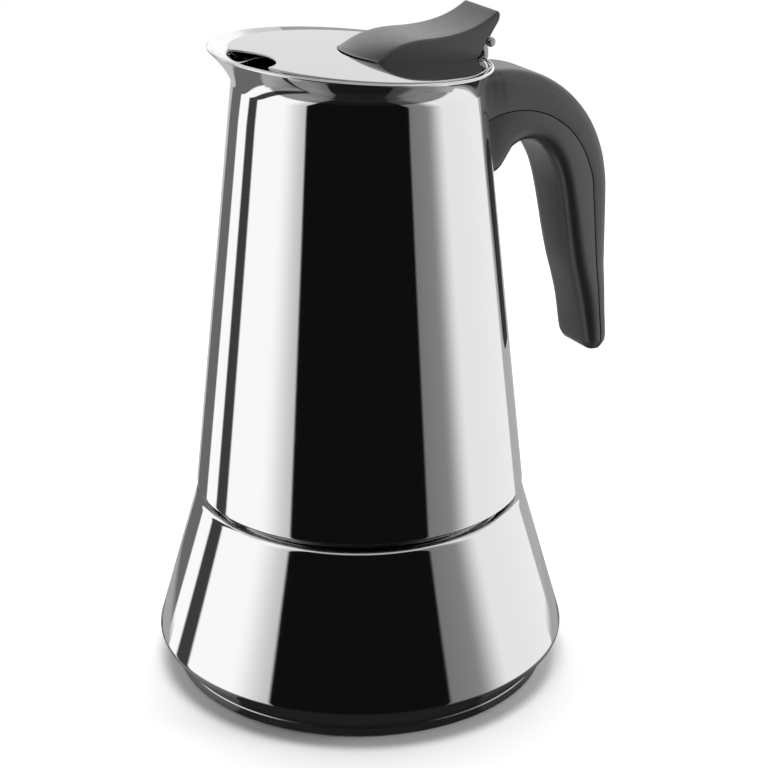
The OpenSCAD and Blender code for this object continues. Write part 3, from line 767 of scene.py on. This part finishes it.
piece(lid(), "lid_disc")


# ---- Lid lever ----

LEVER_FRONT = ((-3.2, 173.9), (1, 176.6), (7.5, 178.4), (16, 178))
LEVER_REAR = ((16, 178), (24.5, 177.6), (32, 178.6), (37.6, 182.6))
LEVER_HEEL = ((31.2, 170.9), (37.6, 179.8))
BOW_R = 21.5


def lid_plane(x):
    """Height of the lid's top face at x."""
    c, s = math.cos(math.radians(RIM_TILT)), math.sin(math.radians(RIM_TILT))
    local_x = (x - LID_TOP * s) / c
    return RIM_Z - local_x * s + LID_TOP * c


def lever_rows():
    """Pairs of points of the side outline, top and bottom, from the front edge to the rear."""
    rows = []
    for i in range(25):
        x, z = bezier(LEVER_FRONT, (i / 24) ** 1.3)
        low = lid_plane(x)
        rows.append((x, max(z, low + 0.3), x, low))
    for i in range(1, 25):
        x, z = bezier(LEVER_REAR, i / 24)
        over = max(0, x - 30.2) / (37.6 - 30.2)
        if over == 0:
            rows.append((x, z, x, lid_plane(x)))
        else:
            heel = [LEVER_HEEL[0][k] + (LEVER_HEEL[1][k] - LEVER_HEEL[0][k]) * over for k in (0, 1)]
            rows.append((x, z, *heel))
    rows += [(37.95, 182.68, 37.9, 180.3), (38.2, 182.5, 38.1, 180.8), (38.28, 182.1, 38.2, 181.2)]
    return rows


def lever_ring(row):
    top, low = Vector(row[:2]), Vector(row[2:])
    height = (top - low).length
    up = (top - low) / height
    middle = (top[0] + low[0]) / 2
    w = 10.6 - 2.0 * max(0, middle + 0.4) / 39
    bow = max(0, min(1, (17 - middle) / 18)) ** 1.2
    r = min(0.75, height * 0.42)
    corner = [math.radians(90 * k / 5) for k in range(6)]
    across = [(w - r) * (1 - k / 8) for k in range(17)][1:-1]
    section = [(w, 0)] + [(w - r + r * math.cos(b), height - r + r * math.sin(b)) for b in corner]
    section += [(y, height) for y in across]
    section += [(-w + r - r * math.sin(b), height - r + r * math.cos(b)) for b in corner]
    section += [(-w, 0)] + [(-y * w / (w - r), 0) for y in across]
    ring = []
    for y, h in section:
        shift = (BOW_R - math.sqrt(BOW_R ** 2 - y ** 2)) * bow
        x, z = low[0] + up[0] * h, low[1] + up[1] * h
        z += lid_plane(x + shift) - lid_plane(x)
        ring.append((x + shift, y, z))
    return ring


def pin_tool(radius, half):
    return cross_tool(arc(PIN, radius, 0, 352.5, 47), half)


def lever():
    body = loft("lever", [lever_ring(row) for row in lever_rows()])
    leaf = []
    half, front, rear, low, high = 5.3, 16.9, 36.9, -0.7, 1.4
    for y in (-half, half):
        corners = ((front, low), (rear, low), (rear, high), (front, high))
        leaf.append([on_rim(x, y, z) for x, z in corners])
    arms = cross_tool([(28, 170.5), (36, 170.5), (36, 175.3), (33.2, 175.3), (28, 172.8)], half)
    return cut(body, loft("tool", leaf), arms, pin_tool(KNUCKLE_R + 0.3, half),
               pin_tool(4.6, 2.9), pin_tool(1.6, 15), sharp=40)


piece(lever(), "lid_lever")


# ---- Floor, lights and the cards that the steel mirrors ----

def emitter(name, attribute):
    """A material that glows as brightly as the mesh attribute says."""
    material = bpy.data.materials.new(name)
    material.use_nodes = True
    tree = material.node_tree
    tree.nodes.clear()
    out = tree.nodes.new("ShaderNodeOutputMaterial")
    glow = tree.nodes.new("ShaderNodeEmission")
    source = tree.nodes.new("ShaderNodeAttribute")
    source.attribute_name = attribute
    tree.links.new(source.outputs["Fac"], glow.inputs["Color"])
    tree.links.new(glow.outputs[0], out.inputs[0])
    material.cycles.emission_sampling = "NONE"
    return material


def mirror_only(obj):
    """Seen only in reflections."""
    for flag in ("camera", "diffuse", "shadow", "transmission", "volume_scatter"):
        setattr(obj, "visible_" + flag, False)


# The studio's cards, which stand in a ring round the pot. Each runs from a first to a last
# angle from the camera, positive to the right, and shades from one brightness to another.
# A later card stands in front of an earlier one.
CARDS = {
    "dark_gap_left": (-145, -118, 0.15, 0.15),
    "white_left": (-120, -60, 1.1, 1.1),
    "white_left_end": (-65, -40, 1.1, 0.6),
    "black_flag_left": (-105, -93, 0.05, 0.05),
    "dim_gap_right": (120, 150, 0.45, 0.45),
    "grey_right": (38, 60, 0.2, 0.25),
    "grey_to_white_right": (55, 75, 0.25, 0.9),
    "white_right": (73, 125, 0.9, 0.95),
    "black_front": (-42, 41, 0.005, 0.005),
}
ROOM_LIGHT = 0.55
CARD_EDGE = 1.5
CAMERA_AT = Vector((-265.6, -479.1, 303.7)) * MM
CAMERA_TURN = (math.radians(90 - 22.12), 0, math.radians(-29.717))
FRONT = math.atan2(CAMERA_AT[1], CAMERA_AT[0])


def clamp(value):
    return min(1, max(0, value))


def ring_light(az):
    """Brightness of the ring of cards at an angle: the room where no card stands."""
    light = ROOM_LIGHT
    for first, last, start, end in CARDS.values():
        share = clamp((az - first) / (last - first))
        own = start + (end - start) * share * share * (3 - 2 * share)
        cover = clamp((az - first) / CARD_EDGE + 0.5) * clamp((last - az) / CARD_EDGE + 0.5)
        light += (own - light) * cover
    return light


# What shows below the cards behind the pot, near and far down, and above the cards. Below the cards the
# tent shows the floor as the steel mirrors it, dimmer than the lit floor: painted shade.
FLOOR_GLOW, DEEP_GLOW = 0.4, 0.12
CEILING_GLOW, CEILING_GLOW_BEHIND = 0.72, 0.4


def card_light(az, z):
    """Brightness of the tent at an angle and a height in millimetres."""
    side, turn = ring_light(az), abs(az)
    if turn > 115:
        # behind the pot the mirrored floor fades to FLOOR_GLOW, then DEEP_GLOW: painted shade
        deep = clamp((-25 - z) / 10)
        side = DEEP_GLOW if z < -100 else side * (1 - deep) + FLOOR_GLOW * deep
    # below the cards the mirrored floor is painted darker lower down: painted shade
    elif z < -35:
        return side * (0.25 + 0.75 * max(0, (z + 55) / 20)) + 0.01
    behind = clamp((turn - 130) / 20) * clamp((330 - z) / 50)
    over = CEILING_GLOW + CEILING_GLOW_BEHIND * behind
    # the cards in front of the pot are taller
    high = min(0.7, clamp((z - 230) / 60)) if turn < 80 else clamp((z - 165) / 15)
    return side * (1 - high) + over * high


def glowing(name, rings, light):
    """A skin over closed rings of points that glows as light says; only mirrors show it."""
    count = len(rings[0])
    faces = []
    for i in range(len(rings) - 1):
        for k in range(count):
            a, b = i * count + k, i * count + (k + 1) % count
            faces.append((a, b, b + count, a + count))
    mesh = bpy.data.meshes.new(name)
    mesh.from_pydata((np.array(rings).reshape(-1, 3) * MM).tolist(), [], faces)
    mesh.attributes.new("light", "FLOAT", "POINT").data.foreach_set("value", np.array(light).ravel())
    obj = bpy.data.objects.new(name, mesh)
    bpy.context.scene.collection.objects.link(obj)
    mesh.materials.append(emitter(name + "_light", "light"))
    mirror_only(obj)


def ring_of(radius, z):
    """A ring of points about the pot, and the angle of each from the camera."""
    columns = 720
    turns = [-180 + 360 * k / columns for k in range(columns)]
    angles = [FRONT + math.radians(t) for t in turns]
    points = [(radius * math.cos(a), radius * math.sin(a), z) for a in angles]
    return turns, points


def tent():
    """The ring of cards as one skin, closed below, with the floor's and ceiling's glow."""
    low, radius = -200, 180
    turns, points = ring_of(20, low)
    rings, light = [points], [[0.03] * len(turns)]
    for z in (low, -55, -45, -35, -30, -25, 0, 80, 165, 172, 180, 230, 240, 270, 290, 330, 420):
        turns, points = ring_of(radius, z)
        rings.append(points)
        light.append([card_light(t, z) for t in turns])
    glowing("tent", rings, light)


def floor_mirror():
    """What the underside of the boiler mirrors: the floor, dark where the pot shades it."""
    rings, light = [], []
    for radius, share in ((20, 0), (50, 0.03), (55, 0.12), (65, 0.17), (72, 0.2)):
        turns, points = ring_of(radius, -0.5)
        rings.append(points)
        light.append([0.015 + share * card_light(t, 0) for t in turns])
    glowing("floor_mirror", rings, light)


def studio_floor():
    """A pale matt disc that the pot stands on."""
    mesh = bpy.data.meshes.new("studio_floor")
    edge = [(x * MM, y * MM, 0) for x, y in arc((0, 0), 520, 0, 355, 71)]
    mesh.from_pydata(edge, [], [tuple(range(len(edge)))])
    obj = bpy.data.objects.new("studio_floor", mesh)
    bpy.context.scene.collection.objects.link(obj)
    paint = bpy.data.materials.new("floor_paint")
    paint.use_nodes = True
    shader = paint.node_tree.nodes["Principled BSDF"]
    shader.inputs["Base Color"].default_value = (0.9, 0.9, 0.9, 1)
    shader.inputs["Roughness"].default_value = 1
    shader.inputs["Specular IOR Level"].default_value = 0
    mesh.materials.append(paint)
    obj.location.z = -0.0002
    obj.visible_glossy = False


def soft_light(name, place, aim, size, watts):
    data = bpy.data.lights.new(name, "AREA")
    data.shape, data.size, data.energy = "DISK", size, watts
    obj = bpy.data.objects.new(name, data)
    bpy.context.scene.collection.objects.link(obj)
    obj.location = place
    obj.rotation_euler = (Vector(aim) - Vector(place)).to_track_quat("-Z", "Y").to_euler()
    obj.visible_glossy = False
    return obj


tent()
floor_mirror()
studio_floor()
soft_light("top_light", (0.12, 0.22, 1.3), (0, 0, 0.08), 1.0, 20)
soft_light("right_light", (0.9, -0.75, 0.45), (0.05, 0, 0.13), 0.5, 5)

world = bpy.data.worlds.new("studio")
world.use_nodes = True
sky = world.node_tree.nodes["Background"]
sky.inputs["Color"].default_value = (1, 1, 1, 1)
# white behind the pot, but dim as a light so that the shadows stay deep
path = world.node_tree.nodes.new("ShaderNodeLightPath")
level = world.node_tree.nodes.new("ShaderNodeMapRange")
level.inputs["To Min"].default_value, level.inputs["To Max"].default_value = 0.4, 1.0
world.node_tree.links.new(path.outputs["Is Camera Ray"], level.inputs["Value"])
world.node_tree.links.new(level.outputs[0], sky.inputs["Strength"])
bpy.context.scene.world = world
bpy.context.scene.view_settings.view_transform = "Standard"

camera_data = bpy.data.cameras.new("camera")
camera_data.lens, camera_data.sensor_width = 100, 36
camera_data.clip_start = 0.01
camera = bpy.data.objects.new("camera", camera_data)
bpy.context.scene.collection.objects.link(camera)
camera.location, camera.rotation_euler = CAMERA_AT, CAMERA_TURN
bpy.context.scene.camera = camera
